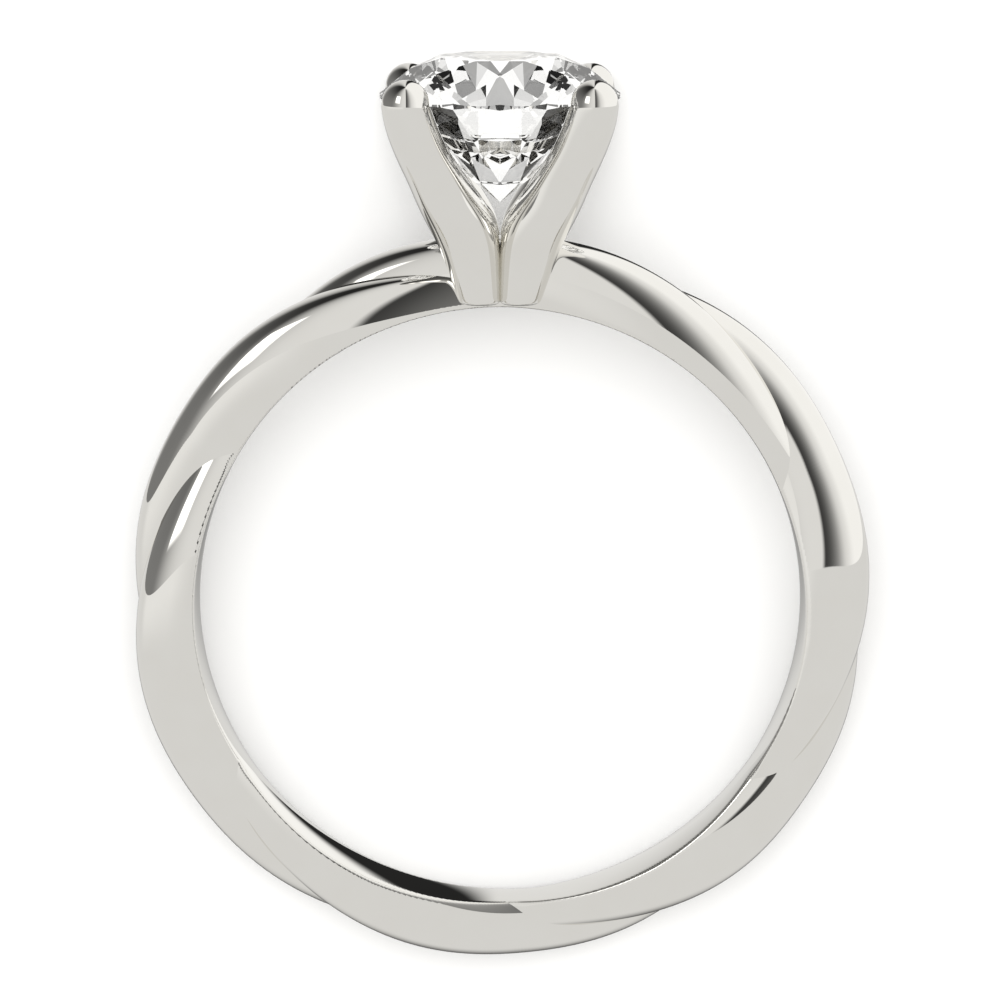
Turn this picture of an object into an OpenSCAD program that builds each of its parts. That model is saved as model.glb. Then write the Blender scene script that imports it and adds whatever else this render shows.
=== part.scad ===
// Solitaire ring: a shank of two strands twisted round each other, and four round prongs that hold one
// round brilliant stone. The ring lies on its side, as it comes to rest when it is put down: on the
// stone's girdle and on two points of the shank.

/* [Finger hole] */
// Radius of the finger hole
finger_r = 8.25; // [7.4:0.05:10]
// Width of the hole's straight wall, before its edges are eased
hole_land = 0.8; // [0.6:0.1:1.2]
// Slope at which the hole's edges open, in degrees
edge_slope = 6; // [2:1:20]

/* [Shank] */
// How far the shank's middle line lies outside the finger hole
shank_stand = 0.32; // [0.2:0.02:0.45]
// Half a strand's thickness outwards from the finger, under the stone
rise_top = 1.26; // [1:0.01:1.5]
// Half a strand's thickness outwards from the finger, at the sides
rise_side = 1.27; // [1:0.01:1.5]
// Half a strand's thickness outwards from the finger, opposite the stone
rise_bottom = 1.05; // [0.9:0.01:1.5]
// Half a strand's thickness along the finger, under the stone
half_top = 0.79; // [0.7:0.01:1.1]
// Half a strand's thickness along the finger, at the sides
half_side = 0.99; // [0.8:0.01:1.3]
// Half a strand's thickness along the finger, opposite the stone
half_bottom = 0.79; // [0.7:0.01:1.1]
// Distance of a strand's centre from the middle line outwards, as a share of the half thickness
centre_out = 0.34; // [0.1:0.01:0.5]
// Distance of a strand's centre from the middle line along the finger, as a share of it
centre_side = 0.4; // [0.1:0.01:0.5]
// Share by which the strands flatten where one lies over the other
outer_flat = 0.07; // [0:0.01:0.15]
// Fullness of a strand's section: 0 is an ellipse, more is squarer
fullness = 0.65; // [0:0.05:0.8]

/* [Twist] */
// Full turns of the strands in one trip round the finger
twist_turns = 3; // [2:1:4]
// Angle at which the twist starts under the stone, in degrees
twist_start = -0.1; // [-30:0.1:30]
// Where the strands run together, in degrees clockwise from the stone
merge_at = 134; // [120:1:180]
// How far to each side they run together, in degrees
merge_span = 5; // [3:1:30]
// Share of the distance between the strands that is lost where they run together
merge_fill = 0.5; // [0:0.05:0.9]

/* [Stone] */
// Diameter of the stone
stone_d = 6.5; // [6:0.1:7]
// Height of the girdle's middle above the finger hole's wall
stone_lift = 5.68; // [5.4:0.02:6.2]
// Height of the table above the girdle's middle
crown_h = 1.08; // [0.9:0.02:1.2]
// Depth of the point below the girdle's middle
pavilion_h = 2.88; // [2.6:0.02:3]
// Thickness of the girdle where it is widest
girdle_t = 0.16; // [0.14:0.01:0.24]
// Share of the stone's diameter across the table's corners
table_share = 0.53; // [0.5:0.01:0.6]
// Share of the crown's width that the star facets take
star_share = 0.5; // [0.4:0.01:0.6]
// Share of the pavilion's length that the lower girdle facets take
lower_share = 0.77; // [0.7:0.01:0.85]

/* [Prongs] */
// Radius of a prong under its tip
prong_r = 0.66; // [0.55:0.01:0.72]
// Height of a prong's round tip
tip_h = 0.68; // [0.5:0.02:0.9]
// Radius of a prong's round tip
tip_r = 0.61; // [0.5:0.01:0.66]
// How far a prong reaches over the girdle
prong_grip = 0.37; // [0.25:0.01:0.42]
// Distance of a prong's foot from the plane between the two sides of the shank
foot_spread = 0.53; // [0.4:0.01:0.56]
// Distance of a prong's foot from the ring's middle plane, towards the finger hole's ends
foot_depth = 0.85; // [0.7:0.01:1]
// Gap between the stone and the prongs' seats
stone_gap = 0.03; // [0.02:0.01:0.05]

/* [Hidden] */

// Waves in the twist, by hand: waves round the ring, and their sine and cosine parts in degrees
twist_waves = [
    [1, -9.6, -4.4],
    [2,  1.3,  8.5],
];
// A prong's sections from foot to tip: share of the stone's lift, shares of the way from the foot's
// spread and from the foot's depth to the prong's full reach, and share of the prong's radius
prong_table = [
    [0.02,  0,     0,     0.8],
    [0.04,  0.008, 0,     0.87],
    [0.104, 0.042, 0,     0.96],
    [0.173, 0.078, 0,     1.07],
    [0.261, 0.116, 0.004, 1.18],
    [0.326, 0.154, 0.015, 1.29],
    [0.37,  0.186, 0.04,  1.35],
    [0.414, 0.238, 0.095, 1.37],
    [0.467, 0.32,  0.19,  1.34],
    [0.537, 0.43,  0.32,  1.31],
    [0.607, 0.536, 0.446, 1.27],
    [0.678, 0.643, 0.574, 1.22],
    [0.748, 0.755, 0.71,  1.15],
    [0.819, 0.85,  0.82,  1.11],
    [0.889, 0.923, 0.908, 1.08],
    [0.942, 0.965, 0.958, 1.05],
    [0.995, 1,     1,     1],
];

ring_steps = 120;
bar_sides = 24;
prong_sides = 16;
tip_steps = 5;
girdle_steps = 4;
// How far cuts run past what they cut
past = 0.5;

stone_r = stone_d / 2;
girdle_h = finger_r + stone_lift;
prong_reach = (stone_r + prong_r - prong_grip) / sqrt(2);
middle_r = finger_r + shank_stand;

// A size that eases from top to side to bottom as the angle goes round the ring
function round_ring(top, side, bottom, a) =
    (top + bottom + 2 * side) / 4 + (top - bottom) / 2 * cos(a)
    + (top + bottom - 2 * side) / 4 * cos(2 * a);

// The twist's angle at an angle round the ring
function twist(a) =
    twist_turns * a + twist_start
    + sum_waves(a, len(twist_waves) - 1);
function sum_waves(a, i) =
    i < 0 ? 0 :
    twist_waves[i][1] * sin(twist_waves[i][0] * a)
    + twist_waves[i][2] * cos(twist_waves[i][0] * a)
    + sum_waves(a, i - 1);

// Where one strand's centre lies: outwards and along the finger, in shares of the half thickness
function strand_centre(a) =
    let(apart = 1 - merge_fill * exp(-pow((a - merge_at) / merge_span, 2)))
    [apart * centre_out * cos(twist(a)), apart * centre_side * sin(twist(a))];
// The direction of that centre, counted on with the twist
function towards(a) =
    let(c = strand_centre(a), d = atan2(c[1], c[0]))
    d + 360 * round((twist(a) - d) / 360);

// How far a line at angle b from the middle line reaches in the strand with centre c: first as if it
// were round, then closed in on for the fuller section
function round_reach(c, b) =
    let(beside = c[0] * cos(b) + c[1] * sin(b))
    beside + sqrt(1 - c[0] * c[0] - c[1] * c[1] + beside * beside);
function full_reach(c, b, reach, steps) =
    steps == 0 ? reach :
    let(
        u = reach * cos(b) - c[0],
        v = reach * sin(b) - c[1],
        square = u * u + v * v,
        miss = square - fullness * pow(u * v, 2) / square - 1
    )
    full_reach(c, b, reach - miss / (2 * (u * cos(b) + v * sin(b))), steps - 1);
function strand_reach(c, b) = full_reach(c, b, round_reach(c, b), 4);

// A point on the two strands' outline: a is the angle round the ring, and b the angle round the
// shank's middle line from straight outwards
function outline(a, b) =
    let(
        c = strand_centre(a),
        reach = max(strand_reach(c, b), strand_reach(-c, b)),
        flat = 1 - outer_flat * cos(2 * towards(a)),
        up = flat * reach * cos(b) * round_ring(rise_top, rise_side, rise_bottom, a),
        side = reach * sin(b) * round_ring(half_top, half_side, half_bottom, a),
        r = middle_r + up
    )
    [r * sin(a), r * cos(a), side];

shank_points = [
    for (i = [0:ring_steps - 1], j = [0:bar_sides - 1])
        let(a = 360 * i / ring_steps)
        outline(a, towards(a) + 360 * j / bar_sides)
];

// Faces of a net of points that closes both ways, or that closes round and is capped at both ends
function net_faces(rows, sides) = [
    for (i = [0:rows - 1], j = [0:sides - 1])
        let(
            k = (j + 1) % sides,
            p = i * sides + j,
            q = i * sides + k,
            s = ((i + 1) % rows) * sides + j,
            t = ((i + 1) % rows) * sides + k
        )
        each [[p, s, t], [p, t, q]]
];
function tube_faces(rows, sides) = concat(
    [
        for (i = [0:rows - 2], j = [0:sides - 1])
            let(
                k = (j + 1) % sides,
                p = i * sides + j,
                q = i * sides + k,
                s = (i + 1) * sides + j,
                t = (i + 1) * sides + k
            )
            each [[p, s, t], [p, t, q]]
    ],
    [[for (j = [0:sides - 1]) j]],
    [[for (j = [sides - 1:-1:0]) (rows - 1) * sides + j]]
);

// A prong's sections: height, distances from the two middle planes, and half the width
prong_rows = concat(
    [
        for (row = prong_table)
            [
                finger_r + row[0] * stone_lift,
                foot_spread + row[1] * (prong_reach - foot_spread),
                foot_depth + row[2] * (prong_reach - foot_depth),
                row[3] * prong_r,
            ]
    ],
    [
        for (i = [1:tip_steps])
            let(a = 84 * i / tip_steps, tip = finger_r + 0.995 * stone_lift)
            [tip + tip_h * sin(a), prong_reach, prong_reach, tip_r * cos(a)]
    ]
);
// How far a prong leans outwards at a section: sideways travel for one unit of height
function prong_lean(i) =
    let(
        low = prong_rows[max(i - 1, 0)],
        high = prong_rows[min(i + 1, len(prong_table) - 1)]
    )
    i >= len(prong_table) - 1 ? 0 : sqrt(2) * (high[1] - low[1]) / (high[0] - low[0]);
// A level cut through a leaning round prong is longer in the direction of its lean
function prong_points(x_side, z_side) = [
    for (i = [0:len(prong_rows) - 1], j = [0:prong_sides - 1])
        let(
            row = prong_rows[i],
            stretch = sqrt(1 + pow(prong_lean(i), 2)),
            r = row[3] * sqrt(2 / (1 + stretch * stretch)),
            a = 360 * j / prong_sides - 45 * x_side * z_side,
            along = r * stretch * cos(a) / sqrt(2),
            across = r * sin(a) / sqrt(2)
        )
        [
            x_side * (row[1] + along) + z_side * across,
            row[0],
            z_side * (row[2] + along) - x_side * across,
        ]
];

// The stone's facets: radii and heights of the corners that do not lie on the table or the girdle
table_r = stone_r * table_share;
table_flat = table_r * cos(22.5);
star_r = table_flat + star_share * (stone_r - table_flat);
star_h = girdle_t / 2
    + (stone_r - star_r * cos(22.5)) * (crown_h - girdle_t / 2) / (stone_r - table_r);
lower_r = stone_r * (1 - lower_share);
lower_h = -girdle_t / 2
    - (stone_r - lower_r * cos(22.5)) * (pavilion_h - girdle_t / 2) / stone_r;
upper_slope = (star_h - girdle_t / 2) / ((stone_r - star_r) * cos(11.25));
lower_slope = (-girdle_t / 2 - lower_h) / ((stone_r - lower_r) * cos(11.25));

// A point of the stone: radius, angle from the viewer's side, and height above the girdle's middle
function stone_point(r, a, h) = [r * sin(a), girdle_h + h, r * cos(a)];
// How far the flat facets eat into the round girdle, at step i of its circle
function girdle_dip(i, slope) =
    let(d = 22.5 * (i % girdle_steps) / girdle_steps - 11.25)
    stone_r * (cos(d) - cos(11.25)) * slope;
girdle_sides = 16 * girdle_steps;
stone_points = concat(
    [for (k = [0:7]) stone_point(table_r, 45 * k + 22.5, crown_h)],
    [for (k = [0:7]) stone_point(star_r, 45 * k, star_h)],
    [for (k = [0:7]) stone_point(lower_r, 45 * k, lower_h)],
    [stone_point(0, 0, -pavilion_h)],
    [
        for (i = [0:girdle_sides - 1])
            stone_point(stone_r, 360 * i / girdle_sides, girdle_t / 2 - girdle_dip(i, upper_slope))
    ],
    [
        for (i = [0:girdle_sides - 1])
            stone_point(stone_r, 360 * i / girdle_sides, girdle_dip(i, lower_slope) - girdle_t / 2)
    ]
);
// Where each kind of corner starts in the list of points
star_at = 8;
lower_at = 16;
culet_at = 24;
upper_edge_at = 25;
lower_edge_at = upper_edge_at + girdle_sides;
function upper_edge(i) = upper_edge_at + i % girdle_sides;
function lower_edge(i) = lower_edge_at + i % girdle_sides;
stone_faces = concat(
    [[for (k = [7:-1:0]) k]],
    [for (k = [0:7]) [star_at + k, (k + 7) % 8, k]],
    [
        for (k = [0:7])
            [k, star_at + (k + 1) % 8, upper_edge((2 * k + 1) * girdle_steps), star_at + k]
    ],
    [
        for (m = [0:15])
            concat(
                [star_at + floor((m + 1) / 2) % 8],
                [for (i = [girdle_steps:-1:0]) upper_edge(m * girdle_steps + i)]
            )
    ],
    [
        for (i = [0:girdle_sides - 1])
            [lower_edge(i), upper_edge(i), upper_edge(i + 1), lower_edge(i + 1)]
    ],
    [
        for (m = [0:15])
            concat(
                [lower_at + floor((m + 1) / 2) % 8],
                [for (i = [0:girdle_steps]) lower_edge(m * girdle_steps + i)]
            )
    ],
    [
        for (k = [0:7])
            [culet_at, lower_at + k, lower_edge((2 * k + 1) * girdle_steps), lower_at + (k + 1) % 8]
    ]
);

// How the ring lies: the floor touches the girdle's lowest corner and slopes up from it to the shank.
// For a given lean to the side, the slope is the steepest that leaves every point of the shank above
// the floor, and the ring comes to rest at the lean that gives the greatest slope.
rest_y = girdle_h - girdle_t / 2;
function floor_slope(lean) =
    min([for (p = shank_points) (p[2] + stone_r - lean * p[0]) / (rest_y - p[1])]);
function best_lean(low, high, tries) =
    let(a = low + (high - low) / 3, b = high - (high - low) / 3)
    tries == 0 ? (low + high) / 2 :
    floor_slope(a) < floor_slope(b) ? best_lean(a, high, tries - 1) : best_lean(low, b, tries - 1);
lean = best_lean(-0.1, 0.1, 30);
roll = atan(lean);
pitch = atan(floor_slope(lean) * cos(roll));

// A point after the ring is turned onto its side
function turned(p) =
    let(z = p[2] * cos(roll) - p[0] * sin(roll))
    [
        p[0] * cos(roll) + p[2] * sin(roll),
        p[1] * cos(pitch) - z * sin(pitch),
        p[1] * sin(pitch) + z * cos(pitch),
    ];
turned_x = [for (p = shank_points) turned(p)[0]];
low_y = min([for (p = shank_points) turned(p)[1]]);
high_y = max([for (p = stone_points) turned(p)[1]]);
low_z = turned([0, rest_y, -stone_r])[2];

// Lays the ring on the floor, with its box's middle over the origin; the pieces are drawn with the
// finger hole's middle at the origin, its axis along z and the stone up the y axis
module lay_down() {
    translate([-(max(turned_x) + min(turned_x)) / 2, -(high_y + low_y) / 2, -low_z])
        rotate([pitch, 0, 0])
            rotate([0, roll, 0])
                children();
}

module shank() {
    polyhedron(shank_points, net_faces(ring_steps, bar_sides));
}

module prongs() {
    for (x_side = [-1, 1], z_side = [-1, 1])
        polyhedron(prong_points(x_side, z_side), tube_faces(len(prong_rows), prong_sides));
}

// The finger hole, with edges that open towards both sides
module finger_hole() {
    reach = (1 + centre_side) * max(half_top, half_side, half_bottom) + past;
    ease = reach - hole_land / 2;
    translate([0, 0, -reach])
        cylinder(h = 2 * reach, r = finger_r, $fn = 128);
    for (side = [-1, 1])
        rotate([side < 0 ? 180 : 0, 0, 0])
            translate([0, 0, hole_land / 2])
                cylinder(h = ease, r1 = finger_r, r2 = finger_r + ease * tan(edge_slope), $fn = 128);
}

// The room for the stone, cut from the prongs: a cone, the girdle's band and a cone
module stone_seat() {
    seat_r = stone_r + stone_gap;
    lower_edge_h = -girdle_t / 2 - stone_gap;
    upper_edge_h = girdle_t / 2 + stone_gap;
    top_r = seat_r - crown_h * (stone_r - star_r) / (star_h - girdle_t / 2);
    translate([0, girdle_h, 0])
        rotate([-90, 0, 0])
            union() {
                translate([0, 0, lower_edge_h - pavilion_h])
                    cylinder(h = pavilion_h, r1 = 0, r2 = seat_r, $fn = 96);
                translate([0, 0, lower_edge_h])
                    cylinder(h = upper_edge_h - lower_edge_h, r = seat_r, $fn = 96);
                translate([0, 0, upper_edge_h])
                    cylinder(h = crown_h, r1 = seat_r, r2 = top_r, $fn = 96);
            }
}

module mounting() {
    color([0.82, 0.81, 0.79])
        lay_down()
            difference() {
                union() {
                    difference() {
                        shank();
                        finger_hole();
                    }
                    prongs();
                }
                stone_seat();
            }
}

module diamond() {
    color([0.93, 0.95, 0.97])
        lay_down()
            polyhedron(stone_points, stone_faces);
}

mounting();
diamond();
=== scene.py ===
# Solitaire ring with a shank of two twisted strands, lying on its side on a pale table
import math

import bmesh
import bpy
from mathutils import Matrix, Vector


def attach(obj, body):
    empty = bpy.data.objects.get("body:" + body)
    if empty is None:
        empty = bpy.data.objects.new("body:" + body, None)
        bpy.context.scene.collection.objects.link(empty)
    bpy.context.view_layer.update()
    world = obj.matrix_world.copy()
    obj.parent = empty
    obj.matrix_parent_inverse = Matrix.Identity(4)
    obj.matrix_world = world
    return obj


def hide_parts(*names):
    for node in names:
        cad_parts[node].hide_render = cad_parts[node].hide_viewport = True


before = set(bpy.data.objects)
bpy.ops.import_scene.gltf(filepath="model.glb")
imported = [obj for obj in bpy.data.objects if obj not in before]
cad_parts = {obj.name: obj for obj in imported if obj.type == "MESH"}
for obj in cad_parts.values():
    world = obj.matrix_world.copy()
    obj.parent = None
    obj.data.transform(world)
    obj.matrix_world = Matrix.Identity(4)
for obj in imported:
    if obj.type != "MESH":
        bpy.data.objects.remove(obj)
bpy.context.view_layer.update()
print("frame loaded")

mm = 0.001

# How the ring lies: it is drawn with the finger hole's middle at the origin, the hole's axis along z
# and the stone up the y axis, and then turned and moved as the CAD part is
lay = {
    "pitch": 5.50318,
    "roll": 0.05205,
    "place": (-0.04201, -2.62128, 1.90679),
}
turn = Matrix.Rotation(math.radians(lay["pitch"]), 4, "X") @ Matrix.Rotation(
    math.radians(lay["roll"]), 4, "Y"
)
layDown = Matrix.Translation(Vector(lay["place"]) * mm) @ turn @ Matrix.Scale(mm, 4)

# Finishes
polishing = {
    "detail": 3,
    "dullBelow": 0.35,
    "brightAbove": 0.65,
}
metal = {
    "colour": (0.86, 0.85, 0.82),
    "otherColour": (0.85, 0.838, 0.806),
    "roughness": (0.012, 0.024),
    "grain": 900,
}
stone = {
    "colour": (1.0, 1.0, 1.0),
    "otherColour": (0.985, 0.99, 0.995),
    "roughness": (0, 0),
    "grain": 400,
    "ior": 2.417,
    "surfaceGleam": (0.3, 0.3, 0.3),
}


def makePolish():
    # a soft mask that wanders over a surface, for what a polishing wheel leaves
    group = bpy.data.node_groups.new("polish", "ShaderNodeTree")
    group.interface.new_socket("Scale", in_out="INPUT", socket_type="NodeSocketFloat")
    group.interface.new_socket("Mask", in_out="OUTPUT", socket_type="NodeSocketFloat")
    start, end = group.nodes.new("NodeGroupInput"), group.nodes.new("NodeGroupOutput")
    coords = group.nodes.new("ShaderNodeTexCoord")
    clouds = group.nodes.new("ShaderNodeTexNoise")
    clouds.inputs["Detail"].default_value = polishing["detail"]
    spread = group.nodes.new("ShaderNodeMapRange")
    spread.inputs["From Min"].default_value = polishing["dullBelow"]
    spread.inputs["From Max"].default_value = polishing["brightAbove"]
    group.links.new(start.outputs["Scale"], clouds.inputs["Scale"])
    group.links.new(coords.outputs["Object"], clouds.inputs["Vector"])
    group.links.new(clouds.outputs["Fac"], spread.inputs["Value"])
    group.links.new(spread.outputs["Result"], end.inputs["Mask"])
    return group


polish = makePolish()


def polishedMaterial(name, finish):
    # wanders between two colours and, where the finish gives two, between two roughnesses
    material = bpy.data.materials.new(name)
    material.use_nodes = True
    nodes, links = material.node_tree.nodes, material.node_tree.links
    shader = nodes["Principled BSDF"]
    mask = nodes.new("ShaderNodeGroup")
    mask.node_tree = polish
    mask.inputs["Scale"].default_value = finish["grain"]
    tone = nodes.new("ShaderNodeMix")
    tone.data_type = "RGBA"
    tone.inputs[6].default_value = (*finish["colour"], 1)  # the two colours to mix
    tone.inputs[7].default_value = (*finish["otherColour"], 1)
    links.new(mask.outputs["Mask"], tone.inputs["Factor"])
    links.new(tone.outputs[2], shader.inputs["Base Color"])  # the mixed colour
    least, most = finish["roughness"]
    if least == most:
        shader.inputs["Roughness"].default_value = least
        return material, shader
    gloss = nodes.new("ShaderNodeMapRange")
    gloss.inputs["To Min"].default_value = least
    gloss.inputs["To Max"].default_value = most
    links.new(mask.outputs["Mask"], gloss.inputs["Value"])
    links.new(gloss.outputs["Result"], shader.inputs["Roughness"])
    return material, shader


def makeWhiteMetal():
    material, shader = polishedMaterial("polished_white_metal", metal)
    shader.inputs["Metallic"].default_value = 1
    return material


def makeCutStone():
    material, shader = polishedMaterial("cut_stone", stone)
    shader.inputs["IOR"].default_value = stone["ior"]
    shader.inputs["Specular Tint"].default_value = (*stone["surfaceGleam"], 1)
    shader.inputs["Transmission Weight"].default_value = 1
    # the table's light passes through the stone
    nodes, links = material.node_tree.nodes, material.node_tree.links
    path = nodes.new("ShaderNodeLightPath")
    passes = nodes.new("ShaderNodeMath")
    passes.operation = "MAXIMUM"
    clear = nodes.new("ShaderNodeBsdfTransparent")
    either = nodes.new("ShaderNodeMixShader")
    links.new(path.outputs["Is Shadow Ray"], passes.inputs[0])
    links.new(path.outputs["Is Diffuse Ray"], passes.inputs[1])
    links.new(passes.outputs["Value"], either.inputs[0])
    links.new(shader.outputs["BSDF"], either.inputs[1])
    links.new(clear.outputs["BSDF"], either.inputs[2])
    links.new(either.outputs["Shader"], nodes["Material Output"].inputs["Surface"])
    return material


whiteMetal = makeWhiteMetal()
print("finishes made")


def finishMetalPiece(bm, name):
    # lays a piece down with the ring, and lets it stand for the CAD mounting
    for face in bm.faces:
        face.smooth = True
    bmesh.ops.transform(bm, matrix=layDown, verts=bm.verts)
    bmesh.ops.recalc_face_normals(bm, faces=bm.faces)
    mesh = bpy.data.meshes.new(name)
    bm.to_mesh(mesh)
    bm.free()
    mesh.materials.append(whiteMetal)
    piece = bpy.data.objects.new(name, mesh)
    bpy.context.scene.collection.objects.link(piece)
    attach(piece, "root")
    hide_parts("mounting")
    print("piece:", name, len(mesh.polygons), "faces")
    return piece


# Shank: a round hoop is spun, and its points are then moved onto the two strands
shank = {
    "middleR": 8.57,
    "boreR": 8.25,
    "boreFlare": 0.055,
    "edgeRound": 0.09,
    # at the head, at the sides and at the bottom
    "strandRise": (1.264, 1.27, 1.05),
    "strandHalf": (0.79, 0.995, 0.79),
    # the rest of the section, as shares of the two above
    "centreOut": 0.342,
    "centreSide": 0.4,
    "outerFlat": 0.067,
    "fullness": 0.65,
    # the twist, with what makes it uneven: waves in a turn, and their two parts in degrees
    "turns": 3,
    "twistStart": -0.06,
    "twistWaves": ((1, -9.6, -4.4), (2, 1.3, 8.5)),
    "coarse": 72,
    "fine": 9,
    "sides": 144,
    "edgeTight": 0.25,
}
search = {
    "reachRounds": 4,
    "valleyRounds": 30,
    "tightRounds": 60,
    "tightShare": 0.6,
}
nearlyNone = 1e-9
nearlyLevel = 1e-5


def roundRing(sizes, a):
    # runs smoothly through the sizes at the head, at both sides and at the bottom
    top, side, bottom = sizes
    return (
        (top + bottom + 2 * side) / 4
        + (top - bottom) / 2 * math.cos(a)
        + (top + bottom - 2 * side) / 4 * math.cos(2 * a)
    )


def twistOf(a):
    twist = shank["turns"] * a + math.radians(shank["twistStart"])
    for waves, sinPart, cosPart in shank["twistWaves"]:
        twist += math.radians(sinPart) * math.sin(waves * a)
        twist += math.radians(cosPart) * math.cos(waves * a)
    return twist


def tightened(s):
    # packs the points closer at the two edges of the finger hole
    return s + shank["edgeTight"] / 2 * math.sin(2 * s)


def untightened(b):
    s = b
    for _ in range(search["tightRounds"]):
        s = s - (tightened(s) - b) * search["tightShare"]
    return s


def strandCentre(a):
    # where the near strand's centre lies, as shares of the strand's two radii, and its direction
    twist = twistOf(a)
    out = shank["centreOut"] * math.cos(twist)
    side = shank["centreSide"] * math.sin(twist)
    towards = math.atan2(side, out)
    return out, side, towards + round((twist - towards) / math.tau) * math.tau


def smoothLeast(one, two, blend):
    share = min(max(0.5 + 0.5 * (two - one) / blend, 0), 1)
    return two + (one - two) * share - blend * share * (1 - share)


def strandReach(out, side, b):
    # how far a line at angle b reaches in the strand with this centre
    along, across = math.cos(b), math.sin(b)
    beside = along * out + across * side
    reach = beside + math.sqrt(1 - out * out - side * side + beside * beside)
    for _ in range(search["reachRounds"]):
        u, v = reach * along - out, reach * across - side
        square = u * u + v * v
        miss = square - shank["fullness"] * (u * v) ** 2 / square - 1
        reach -= miss / (2 * (u * along + v * across))
    return reach


def valleyAfter(out, side, towards):
    # the angle at which the near strand's outline meets the other strand's
    low, high = towards + math.pi / 3, towards + math.pi * 2 / 3
    for _ in range(search["valleyRounds"]):
        middle = (low + high) / 2
        if strandReach(out, side, middle) > strandReach(-out, -side, middle):
            low = middle
        else:
            high = middle
    return low


def onStrands(a, b, centre):
    # the point at angle a round the ring and angle b round the section, cut off at the finger hole
    out, side, towards = centre
    reach = max(strandReach(out, side, b), strandReach(-out, -side, b))
    up = reach * math.cos(b) * roundRing(shank["strandRise"], a)
    up *= 1 - shank["outerFlat"] * math.cos(2 * towards)
    over = reach * math.sin(b) * roundRing(shank["strandHalf"], a)
    length = math.hypot(up, over)
    up, over = up / length, over / length
    flare = shank["boreFlare"] * over * over + nearlyNone
    stand = shank["middleR"] - shank["boreR"]
    wall = (up + math.sqrt(up * up + 4 * flare * stand)) / (2 * flare)
    length = smoothLeast(length, wall, shank["edgeRound"])
    r = shank["middleR"] + length * up
    return Vector((r * math.sin(a), r * math.cos(a), length * over))


def spinHoop():
    # spun in coarse steps, and each step is then cut into fine ones
    bm = bmesh.new()
    bmesh.ops.create_circle(bm, segments=shank["sides"], radius=1)
    bmesh.ops.rotate(bm, matrix=Matrix.Rotation(math.pi / 2, 3, "Y"), verts=bm.verts)
    bmesh.ops.translate(bm, vec=(0, shank["middleR"], 0), verts=bm.verts)
    bmesh.ops.spin(
        bm,
        geom=bm.verts[:] + bm.edges[:],
        axis=(0, 0, 1),
        cent=(0, 0, 0),
        angle=math.tau,
        steps=shank["coarse"],
        use_merge=True,
    )
    halfStep = math.pi / shank["coarse"]
    along = [
        edge
        for edge in bm.edges
        if abs((edge.verts[0].co - edge.verts[1].co).z) < nearlyLevel
        and edge.verts[0].co.xy.angle(edge.verts[1].co.xy) > halfStep
    ]
    bmesh.ops.subdivide_edges(bm, edges=along, cuts=shank["fine"] - 1, use_grid_fill=True)
    return bm


def makeShank():
    bm = spinHoop()
    coarse = math.tau / shank["coarse"]
    rings = shank["coarse"] * shank["fine"]
    step = math.tau / rings
    centres = [strandCentre(i * step) for i in range(rings)]
    starts = [untightened(valleyAfter(*centre)) for centre in centres]
    valleys = set()
    for vert in bm.verts:
        around = math.atan2(vert.co.x, vert.co.y)
        ring = round(around / step) % rings
        # the fine cuts lie on the chords of the coarse steps
        chord = math.cos(coarse / 2) / math.cos(around % coarse - coarse / 2)
        radial = math.hypot(vert.co.x, vert.co.y) / chord - shank["middleR"]
        column = round(math.atan2(vert.co.z, radial) / math.tau * shank["sides"])
        if column % (shank["sides"] // 2) == 0:
            valleys.add(vert)
        b = tightened(starts[ring] + column * math.tau / shank["sides"])
        vert.co = onStrands(ring * step, b, centres[ring])
    for edge in bm.edges:
        edge.smooth = not (edge.verts[0] in valleys and edge.verts[1] in valleys)
    return finishMetalPiece(bm, "shank")


makeShank()

# Prongs: a round outline is extruded from the foot to the tip, section by section
prong = {
    "fingerR": 8.25,
    "lift": 5.68,
    "footSpread": 0.53,
    "footDepth": 0.85,
    "reach": 2.5032,
    "radius": 0.66,
    "tipRadius": 0.65,
    "tipCentre": 13.95,
    "tipSteps": 8,
    "tipOpening": 0.4,  # the part of the last step that a flat face closes
    "sides": 24,
    "levels": 2,
}
prongSections = [
    # height, spread, depth and radius, as shares
    (0.02, 0, 0, 0.8),
    (0.04, 0.008, 0, 0.87),
    (0.104, 0.04, 0.005, 0.97),
    (0.173, 0.076, 0.016, 1.07),
    (0.261, 0.12, 0.03, 1.2),
    (0.35, 0.185, 0.075, 1.36),
    (0.44, 0.288, 0.155, 1.46),
    (0.53, 0.424, 0.295, 1.38),
    (0.607, 0.543, 0.44, 1.27),
    (0.678, 0.65, 0.572, 1.22),
    (0.748, 0.755, 0.705, 1.16),
    (0.819, 0.85, 0.82, 1.11),
    (0.889, 0.923, 0.908, 1.08),
    (0.942, 0.965, 0.958, 1.05),
    (0.995, 1, 1, 1),
]


def prongRows():
    # height, spread, depth and radius, as lengths
    foot, depth, reach = prong["footSpread"], prong["footDepth"], prong["reach"]
    rows = [
        (
            prong["fingerR"] + height * prong["lift"],
            foot + spread * (reach - foot),
            depth + deep * (reach - depth),
            radius * prong["radius"],
        )
        for height, spread, deep, radius in prongSections
    ]
    for i in range(prong["tipSteps"]):
        angle = math.pi / 2 * i / (prong["tipSteps"] - prong["tipOpening"])
        rows.append(
            (
                prong["tipCentre"] + prong["tipRadius"] * math.sin(angle),
                reach,
                reach,
                prong["tipRadius"] * math.cos(angle),
            )
        )
    return rows


def leanAt(rows, i):
    # how far the prong leans out for each millimetre up
    last = len(prongSections) - 1
    if i >= last:
        return 0
    low, high = rows[max(i - 1, 0)], rows[i + 1]
    return math.sqrt(2) * (high[1] - low[1]) / (high[0] - low[0])


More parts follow.
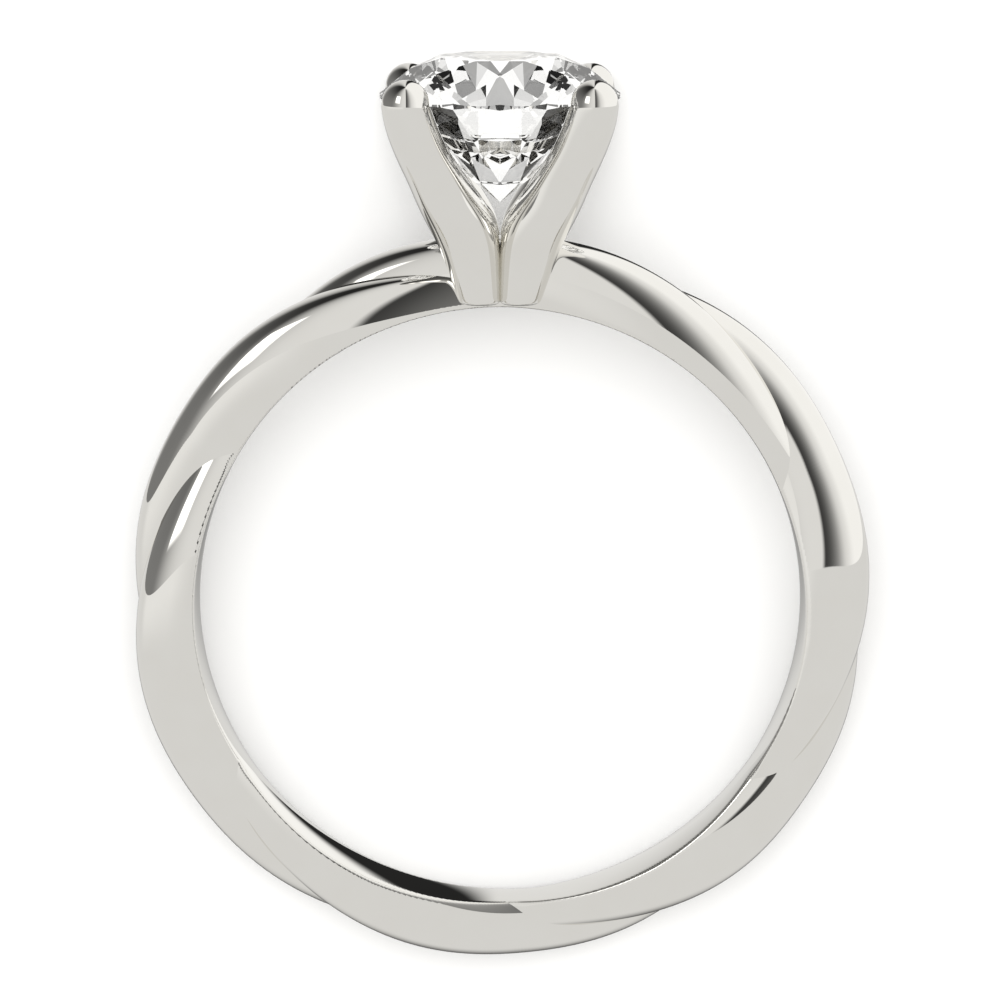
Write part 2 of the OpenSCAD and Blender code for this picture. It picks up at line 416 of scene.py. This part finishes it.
def makeProngs():
    bm = bmesh.new()
    loop = bmesh.ops.create_circle(bm, segments=prong["sides"], radius=1)["verts"]
    bmesh.ops.rotate(bm, matrix=Matrix.Rotation(-math.pi / 2, 3, "X"), verts=loop)
    outline = [vert.co.copy() for vert in loop]
    edges = bm.edges[:]
    bmesh.ops.edgeloop_fill(bm, edges=edges)
    rows = prongRows()
    for i, (height, spread, depth, radius) in enumerate(rows):
        if i:
            made = bmesh.ops.extrude_edge_only(bm, edges=edges)["geom"]
            loop = [part for part in made if isinstance(part, bmesh.types.BMVert)]
            edges = [part for part in made if isinstance(part, bmesh.types.BMEdge)]
            edges = [edge for edge in edges if edge.verts[0] in loop and edge.verts[1] in loop]
        # a leaning prong is cut level, so its section is wider along the lean
        stretch = math.hypot(1, leanAt(rows, i))
        narrow = radius / math.hypot(1, stretch)
        for vert, start in zip(loop, outline):
            along = narrow * stretch * start.x
            across = narrow * start.z
            vert.co = Vector((spread + along + across, height, depth + along - across))
    bmesh.ops.edgeloop_fill(bm, edges=edges)
    for axis in ("X", "Z"):
        bmesh.ops.mirror(bm, geom=bm.verts[:] + bm.edges[:] + bm.faces[:], axis=axis, merge_dist=-1)
    piece = finishMetalPiece(bm, "prongs")
    rounding = piece.modifiers.new("rounding", "SUBSURF")
    rounding.levels = rounding.render_levels = prong["levels"]
    return piece


makeProngs()


def finishStone():
    # the CAD solid has every facet, so it stays and takes the clear material
    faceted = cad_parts["diamond"]
    faceted.data.materials.clear()
    faceted.data.materials.append(makeCutStone())
    print("stone finished")


finishStone()

table = {
    "size": 1.2,
    "colour": (0.9, 0.9, 0.9),
    "otherColour": (0.885, 0.885, 0.885),
    "roughness": (0.8, 0.95),
    "grain": 12,
}


def makeTable():
    bm = bmesh.new()
    bmesh.ops.create_grid(bm, x_segments=1, y_segments=1, size=table["size"] / 2)
    mesh = bpy.data.meshes.new("table_top")
    bm.to_mesh(mesh)
    bm.free()
    material, shader = polishedMaterial("pale_table", table)
    mesh.materials.append(material)
    top = bpy.data.objects.new("table_top", mesh)
    bpy.context.scene.collection.objects.link(top)
    top.visible_glossy = False
    top.visible_transmission = False


makeTable()

# Light: a pale ground on the side away from the stone; above it a dim wall on the left with one
# square lamp, and a large soft panel on the right that darkens towards its front edge
studio = {
    "ground": 0.755,
    "groundGlow": 0.89,
    "groundShade": 0.08,
    "sky": 0.81,
    "wallLow": 0.215,
    "wallHigh": 0.02,
    "panelEdge": 0.05,
    "panelNear": 0.69,
    "panelFar": 1.04,
    "backFlag": 0.02,
    "lamp": 2.0,
    "tint": (1.0, 0.992, 0.972),
    "stoneBase": 1.13,
    "tableLight": 1.0,
}
# where the parts lie, in degrees: from, to, and how soft the two ends are
studioParts = {
    "wallAround": (-176, -6, 48, 64),
    "panelAround": (1, 170, 3, 10),
    "flagAround": (163, 180, 5, 4),
    "lampAround": (-51, -25, 4, 4),
    "lampUp": (9, 41, 4, 4),
    "glowAround": (-110, 0, 30, 20),
}
# where one brightness turns into the next: in degrees, and for the shade as parts of 1
studioFades = {
    "wallUp": (0, 75),
    "panelNear": (3, 33),
    "panelFar": (15, 60),
    "panelUp": (74, 88),
    "glowUp": (-18, -3),
    "horizon": (-0.1, 0.1),
    "shadeBack": (0.2, -1),
    "shadeDown": (-0.05, -0.35),
    "shadeBeside": (0.6, 0.1),
}
# patches of the stone's own surround, the same on the left and on the right:
# azimuth from, to, elevation from, to, brightness
stonePatches = [
    (142, 167, -18, 10, 0.0),
    (128, 156, 57, 85, 0.2),
    (97, 112, 27, 46, 0.05),
    (72, 146, -100, -61, 0.0),
    (-30, 57, -31, -9, 0.0),
    (15, 32, -2, 23, 0.0),
    (147, 186, -36, -26, 0.0),
    (85, 142, 20, 63, 0.45),
    (-30, 58, 25, 59, 0.1),
]
patchSoft = 8


def buildStudio():
    world = bpy.data.worlds.new("studio")
    bpy.context.scene.world = world
    world.use_nodes = True
    nodes, links = world.node_tree.nodes, world.node_tree.links
    coords = nodes.new("ShaderNodeTexCoord")
    path = nodes.new("ShaderNodeLightPath")

    def fill(node, sockets, values):
        for socket, value in zip(sockets, values):
            if isinstance(value, (int, float)):
                node.inputs[socket].default_value = value
            else:
                links.new(value, node.inputs[socket])
        return node.outputs[0]

    def maths(operation, *values):
        node = nodes.new("ShaderNodeMath")
        node.operation = operation
        return fill(node, (0, 1), values)

    def ramp(value, low, high, bottom=0, top=1):
        node = nodes.new("ShaderNodeMapRange")
        node.interpolation_type = "SMOOTHSTEP"
        sockets = ("Value", "From Min", "From Max", "To Min", "To Max")
        return fill(node, sockets, (value, low, high, bottom, top))

    def fade(value, name, bottom=0, top=1):
        return ramp(value, *studioFades[name], bottom, top)

    def window(value, low, high, softLow, softHigh):
        return maths(
            "MULTIPLY",
            ramp(value, low, low + softLow),
            ramp(value, high - softHigh, high, 1, 0),
        )

    def mixed(mask, under, over):
        node = nodes.new("ShaderNodeMix")
        return fill(node, (0, 2, 3), (mask, under, over))

    def along(axis):
        # how far a direction points along one of the ring's own axes
        node = nodes.new("ShaderNodeVectorMath")
        node.operation = "DOT_PRODUCT"
        links.new(coords.outputs["Generated"], node.inputs[0])
        node.inputs[1].default_value = turn.to_3x3() @ Vector(axis)
        return node.outputs["Value"]

    x, y, z = along((1, 0, 0)), along((0, 1, 0)), along((0, 0, 1))
    azimuth = maths("MULTIPLY", maths("ARCTAN2", x, z), 180 / math.pi)
    elevation = maths("MULTIPLY", maths("ARCSINE", y), 180 / math.pi)

    def metalSurround():
        wall = fade(elevation, "wallUp", studio["wallLow"], studio["wallHigh"])
        light = mixed(window(azimuth, *studioParts["wallAround"]), studio["sky"], wall)
        panel = fade(azimuth, "panelNear", studio["panelEdge"], studio["panelNear"])
        panel = mixed(fade(azimuth, "panelFar"), panel, studio["panelFar"])
        panel = mixed(fade(elevation, "panelUp"), panel, studio["panelFar"])
        light = mixed(window(azimuth, *studioParts["panelAround"]), light, panel)
        light = mixed(window(azimuth, *studioParts["flagAround"]), light, studio["backFlag"])
        lampAround = window(azimuth, *studioParts["lampAround"])
        lampUp = window(elevation, *studioParts["lampUp"])
        light = mixed(maths("MULTIPLY", lampAround, lampUp), light, studio["lamp"])
        glowAround = window(azimuth, *studioParts["glowAround"])
        glow = maths("MULTIPLY", glowAround, fade(elevation, "glowUp"))
        below = mixed(glow, studio["ground"], studio["groundGlow"])
        shade = maths("MULTIPLY", fade(z, "shadeBack"), fade(y, "shadeDown"))
        shade = maths("MULTIPLY", shade, fade(maths("ABSOLUTE", x), "shadeBeside"))
        below = mixed(shade, below, studio["groundShade"])
        return mixed(fade(elevation, "horizon"), below, light)

    def stoneSurround():
        turned = maths("ABSOLUTE", azimuth)
        light = studio["stoneBase"]
        half = patchSoft / 2
        for start, end, low, high, brightness in stonePatches:
            patch = maths(
                "MULTIPLY",
                window(turned, start - half, end + half, patchSoft, patchSoft),
                window(elevation, low - half, high + half, patchSoft, patchSoft),
            )
            light = mixed(patch, light, brightness)
        return light

    # rays out of the stone see its own surround, and the table's light is plain
    light = mixed(path.outputs["Is Singular Ray"], metalSurround(), stoneSurround())
    light = mixed(path.outputs["Is Diffuse Ray"], light, studio["tableLight"])
    tint = nodes.new("ShaderNodeVectorMath")
    tint.operation = "SCALE"
    tint.inputs[0].default_value = studio["tint"]
    links.new(light, tint.inputs["Scale"])
    links.new(tint.outputs["Vector"], nodes["Background"].inputs["Color"])


buildStudio()

key = {
    "power": 2.5,
    "size": 0.8,
    "place": (-0.05, 0.15, 0.6),
}


def makeKeyLight():
    lamp = bpy.data.lights.new("soft_key", "AREA")
    lamp.shape = "DISK"
    lamp.size = key["size"]
    lamp.energy = key["power"]
    light = bpy.data.objects.new("soft_key", lamp)
    bpy.context.scene.collection.objects.link(light)
    light.location = key["place"]
    light.rotation_euler = (-Vector(key["place"])).to_track_quat("-Z", "Y").to_euler()
    light.visible_glossy = False
    light.visible_transmission = False


makeKeyLight()
print("studio lit")

# Camera: the photograph's angle to the ring, carried along as the ring is laid down
view = {
    "elevation": 9.99,
    "distance": 139.765,
    "aim": 2.858,
    "lens": 183.88,
    "sensor": 36,
    "nearest": 0.01,
}


def makeCamera():
    angle = math.radians(view["elevation"])
    towards = Vector((0, math.sin(angle), math.cos(angle)))
    upwards = Vector((0, math.cos(angle), -math.sin(angle)))
    place = layDown @ (Vector((0, view["aim"], 0)) + towards * view["distance"])
    axes = Matrix((Vector((1, 0, 0)), upwards, towards)).transposed().to_4x4()
    camera = bpy.data.objects.new("camera", bpy.data.cameras.new("camera"))
    bpy.context.scene.collection.objects.link(camera)
    camera.matrix_world = Matrix.Translation(place) @ turn @ axes
    camera.data.lens = view["lens"]
    camera.data.sensor_width = view["sensor"]
    camera.data.clip_start = view["nearest"]
    bpy.context.scene.camera = camera


makeCamera()

bounces = {
    "all": 24,
    "clear": 24,
    "mirror": 8,
}
bpy.context.scene.view_settings.view_transform = "Standard"
bpy.context.scene.cycles.max_bounces = bounces["all"]
bpy.context.scene.cycles.transmission_bounces = bounces["clear"]
bpy.context.scene.cycles.glossy_bounces = bounces["mirror"]
print("camera placed")
